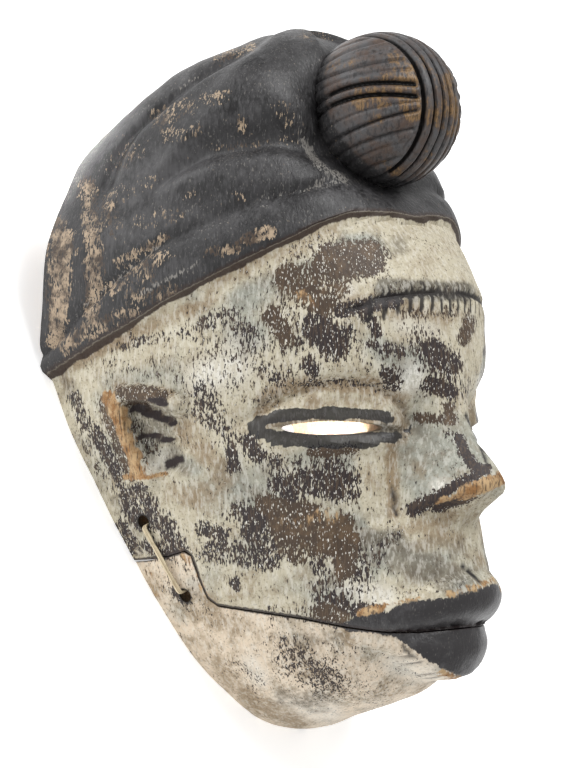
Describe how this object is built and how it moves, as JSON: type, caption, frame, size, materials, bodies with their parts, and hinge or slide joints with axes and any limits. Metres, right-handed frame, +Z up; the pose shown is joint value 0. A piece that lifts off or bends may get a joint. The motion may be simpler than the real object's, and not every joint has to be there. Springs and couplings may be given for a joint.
{
  "type": "moving jaw face mask",
  "caption": "Carved wooden face mask with a hair cap, a grooved round knot over the brow, slit eyes and a lower jaw hinged on cane ties; hollow behind, lying face up.",
  "frame": {"origin": "centre of the outer box in X and Y, on the floor plane that the lower rim of the hollow side rests on", "axes": "+X to the mask's own left, +Y from the chin towards the crown, +Z up, the way the face looks"},
  "size_m": [0.1436, 0.2256, 0.1461],
  "materials": {
    "painted_wood": "worn chalky paint over dark wood, black hair and lips",
    "chalked_wood": "worn chalky paint, black lower lip",
    "cane": "dry split cane"
  },
  "bodies": {
    "mask": {"upper_mask": "painted_wood", "tie_right": "cane", "tie_left": "cane"},
    "jaw": {"jaw": "chalked_wood"}
  },
  "joints": [
    {"name": "jaw_hinge", "type": "hinge", "parent": "mask", "child": "jaw", "pos_m": [0, -0.04071, 0], "axis": [1, 0, 0], "range_deg": [0, 20], "deforming": ["tie_right", "tie_left"]}
  ]
}
